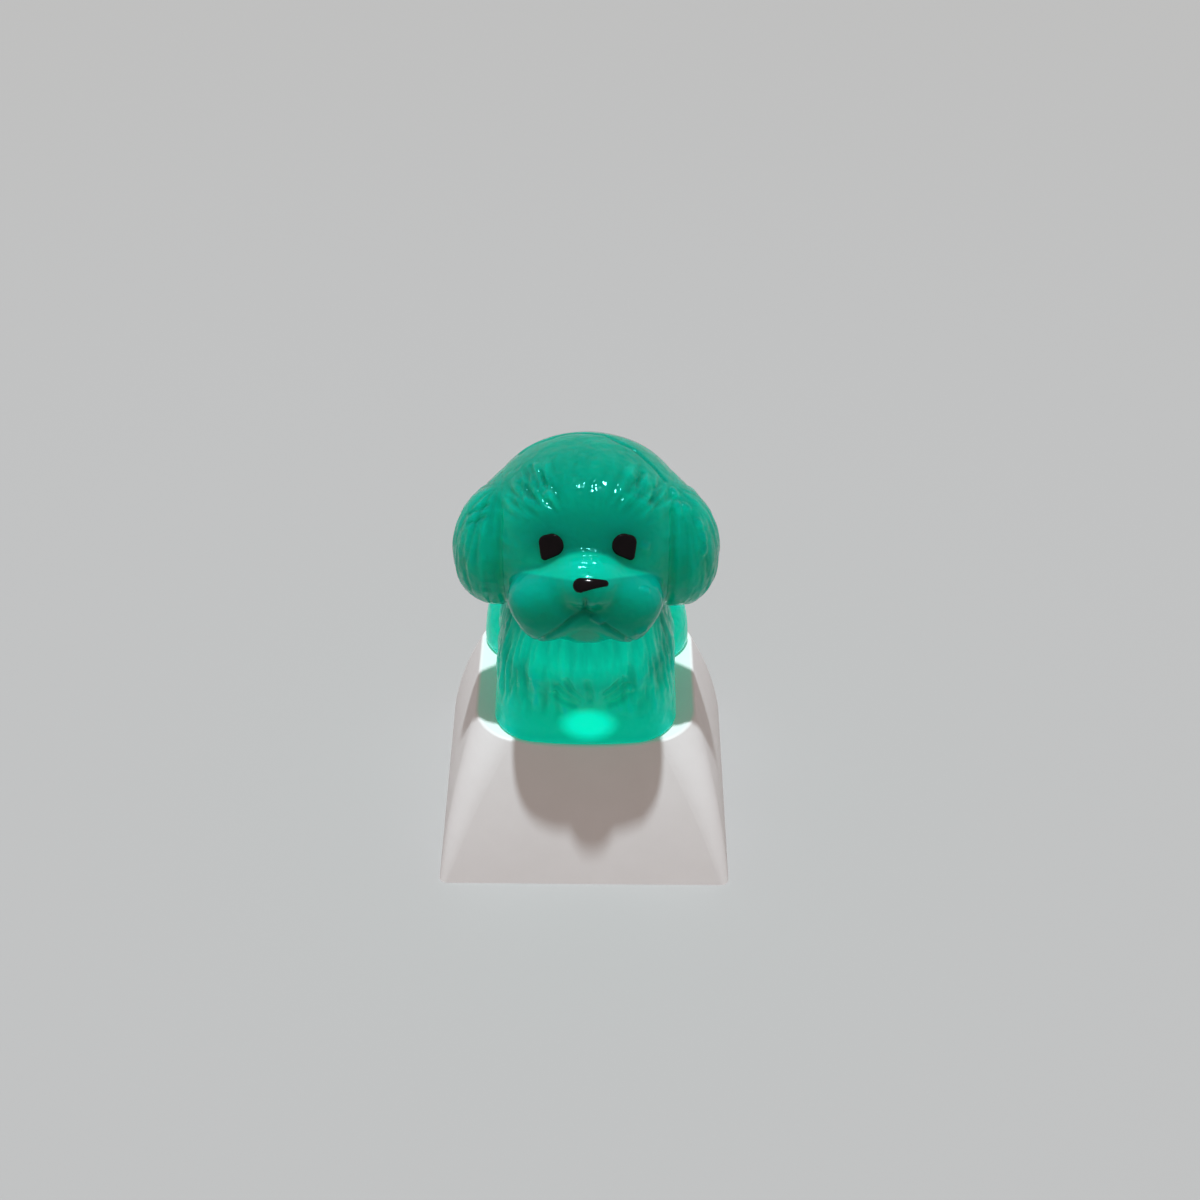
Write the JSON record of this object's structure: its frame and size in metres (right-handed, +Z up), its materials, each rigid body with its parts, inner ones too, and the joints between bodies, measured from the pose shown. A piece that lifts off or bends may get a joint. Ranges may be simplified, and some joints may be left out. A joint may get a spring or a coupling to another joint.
{
  "type": "artisan keycap",
  "caption": "Square keycap with a dished top that carries a cast translucent puppy with hanging ears and enamel eyes and nose, over a hollow underside with a cross stem socket.",
  "frame": {"origin": "middle of the keycap's square rim, on the plane it rests on", "axes": "+Z up, -Y towards the typist and the way the puppy looks, +X to the typist's right"},
  "size_m": [0.0182, 0.0181, 0.0267],
  "materials": {
    "white_plastic": "fine matte",
    "green_resin": "glossy, translucent",
    "black_enamel": "glossy"
  },
  "bodies": {
    "root": {"keycap_base": "white_plastic", "puppy_figure": "green_resin", "left_eye": "black_enamel", "right_eye": "black_enamel", "nose": "black_enamel"}
  },
  "joints": []
}
